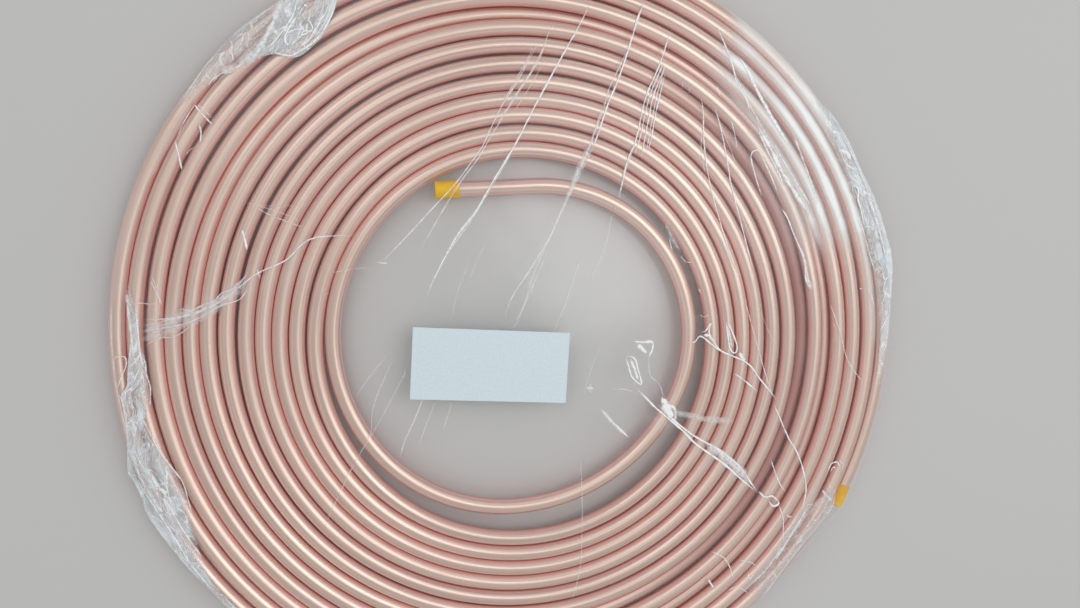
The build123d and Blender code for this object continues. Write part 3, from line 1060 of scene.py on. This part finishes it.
def risen(part, pace):
    """Rises from 0 to 1 in a quarter wave, and stays there."""
    return np.sin(np.pi * np.clip(part * pace, 0, 0.5))


cloud_blue = (0.80, 0.86, 0.90, 1.0)
most_cover = 0.97
# Creases in the bunched film are the edges between cells, stretched along the rim and bent by noise
gather_film, wire = new_material("gathered_film")
place = wire.node("CombineXYZ", {}, {"X": stored(wire, "along"), "Y": stored(wire, "inward"), "Z": 0.0})
warp = place.noise(90.0, 2.0, 0.5, output=1)
bent = wire.node("VectorMath", {"operation": "MULTIPLY_ADD"}, {0: warp, 1: (0.012, 0.007, 0.0), 2: place})
cell_edges = {"feature": "DISTANCE_TO_EDGE"}
wide_folds = wire.node("TexVoronoi", cell_edges, {"Vector": bent.stretched((0.7, 3.2, 1.0)), "Scale": 80.0})
fine_folds = wire.node("TexVoronoi", cell_edges, {"Vector": bent.stretched((0.6, 2.6, 1.0)), "Scale": 190.0})
broken_up = bent.noise(190.0, 2.0, 0.5)
ridges = wide_folds.between(0.0, 0.07, 1.0, 0.0) * broken_up.between(0.40, 0.58)
ridges = ridges + fine_folds.between(0.0, 0.12, 0.4, 0.0) * broken_up.between(0.56, 0.44)
veil = bent.stretched((0.7, 2.6, 1.0)).noise(75.0, 3.0, 0.6).between(0.36, 0.64, 0.55, 1.3)
milky = stored(wire, "milk") * veil + ridges * stored(wire, "ridge") + stored(wire, "fold")
crumpled = (ridges * 0.6 + wide_folds * 1.5).bump(0.6, 0.0015)
gloss = gloss_shader(wire, 0.12, crumpled)
pane = wire.node("MixShader", {}, {0: 0.08, 1: clear_shader(wire), 2: gloss})
cloudy_film = wire.node("BsdfPrincipled", {}, {
    "Base Color": ridges.between(0.0, 0.8).colour_mix(cloud_blue, fold_white),
    "Roughness": 0.25,
    "Normal": crumpled,
})
set_surface(milky.at_most(most_cover).shader_mix(pane, cloudy_film))

for name, (milkiness, ridged, soft_edge, seed, outer_pixels, inner_pixels) in gathers.items():
    outer_line = smooth_line(np.array(outer_pixels, float), edge_spacing)
    inner_line = smooth_line(np.array(inner_pixels, float), edge_spacing)
    length = np.linalg.norm(np.diff(outer_line, axis=0), axis=1).sum() * pixel_size
    rows = int(length / gather_spacing)
    outer_line, inner_line = even_line(outer_line, rows), even_line(inner_line, rows)
    widths = np.linalg.norm(outer_line - inner_line, axis=1) * pixel_size
    columns = int(widths.max() / gather_spacing) + 2
    row_part = np.repeat(np.linspace(0, 1, rows), columns)
    column_part = np.tile(np.linspace(0, 1, columns), rows)
    inner_ends, outer_ends = np.repeat(inner_line, columns, 0), np.repeat(outer_line, columns, 0)
    pixels = inner_ends * (1 - column_part[:, None]) + outer_ends * column_part[:, None]
    # The film's height there and the place that the camera sees depend on each other
    points = under_pixel(pixels[:, 0], pixels[:, 1], face_height)
    for _ in range(aiming_rounds):
        points = under_pixel(pixels[:, 0], pixels[:, 1], skin_height(points))
    x, y = points[:, 0], points[:, 1]
    swelling = risen(row_part, end_rise) * risen(1 - row_part, end_rise) * risen(column_part, inner_rise)
    crinkles = crinkle_share * swell(x, y, crinkle_length, seed + 50)
    folds = np.clip(0.5 + 0.5 * swell(x, y, wide_fold_length, seed) + crinkles, 0, highest_fold)
    points[:, 2] += gather_clearance + fold_height * swelling * (1 - rim_flattening * column_part) * folds
    gather = mesh_piece(name, points, grid_faces(rows, columns))
    patches = patch_level + patch_change * swell(x, y, patch_length, seed + 9)
    patches = np.clip(patches, patch_least, patch_most)
    edge_fade = np.clip(column_part / soft_edge, 0, 1)
    edge_fade *= np.clip((1 - column_part) * outer_fading + outer_least, 0, 1)
    end_fade = np.clip(np.minimum(row_part, 1 - row_part) * end_fading, 0, 1)
    lip = np.exp(-(((1 - column_part) - lip_inset) / lip_width) ** 2)
    if soft_edge < sharp_edge:
        lip += np.exp(-((column_part - lip_inset) / lip_width) ** 2)
    point_values(gather, "milk", milkiness * patches * end_fade * edge_fade)
    point_values(gather, "ridge", ridged * end_fade * edge_fade)
    point_values(gather, "fold", lip_milk * lip * end_fade * patches)
    point_values(gather, "along", row_part * length * MM)
    point_values(gather, "inward", np.repeat(widths, columns) * (1 - column_part) * MM)
    gather.data.materials.append(gather_film)

# Label
# A slip of smooth white paper, cut square and stuck to the front sheet over the open middle.
# It is bare.
paper_shade = (0.67, 0.79, 0.85, 1.0)
paper_white = (0.73, 0.84, 0.90, 1.0)
paper, wire = new_material("label_paper")
fibres = object_place(wire).noise(700.0, 4.0, 0.6)
shader = wire.node("BsdfPrincipled", {}, {
    "Base Color": fibres.between(0.3, 0.7).colour_mix(paper_shade, paper_white),
    "Roughness": fibres.between(0.3, 0.7, 0.44, 0.56),
    "Normal": fibres.bump(0.1, 0.0001),
})
set_surface(shader)
refinish("label", paper)

# Floor and lights
# A plain pale floor just under the coil, and plain soft studio light from overhead.
# Two narrow softboxes draw the bright lines along the turns.
floor_half = 4
floor_drop = 0.0002
floor_grey = (0.60, 0.60, 0.59, 1.0)
sky_white = (1.0, 1.0, 1.0, 1.0)
sky_strength = 0.61

corners = ((-1, -1), (1, -1), (1, 1), (-1, 1))
floor_mesh = bpy.data.meshes.new("floor")
floor_points = [(x * floor_half, y * floor_half, -floor_drop) for x, y in corners]
floor_mesh.from_pydata(floor_points, [], [(0, 1, 2, 3)])
floor = bpy.data.objects.new("floor", floor_mesh)
bpy.context.scene.collection.objects.link(floor)
floor_paint, wire = new_material("floor_paint")
set_surface(wire.node("BsdfPrincipled", {}, {"Base Color": floor_grey, "Roughness": 0.8}))
floor_mesh.materials.append(floor_paint)


def softbox(name, place, size, power):
    """Rectangular lamp that faces the coil."""
    lamp = bpy.data.lights.new(name, "AREA")
    lamp.shape = "RECTANGLE"
    lamp.size, lamp.size_y = size
    lamp.energy = power
    holder = bpy.data.objects.new(name, lamp)
    holder.location = place
    holder.rotation_euler = (-holder.location).to_track_quat("-Z", "Y").to_euler()
    bpy.context.scene.collection.objects.link(holder)


softbox("softbox_main", place=(0.67, 0.27, 1.31), size=(0.65, 1.2), power=4.4)
softbox("softbox_side", place=(-0.5, 0.59, 1.3), size=(0.6, 1.0), power=1.7)
world = bpy.data.worlds.new("studio")
world.use_nodes = True
sky = world.node_tree.nodes["Background"]
sky.inputs["Color"].default_value = sky_white
sky.inputs["Strength"].default_value = sky_strength
bpy.context.scene.world = world
bpy.context.scene.view_settings.view_transform = "Standard"
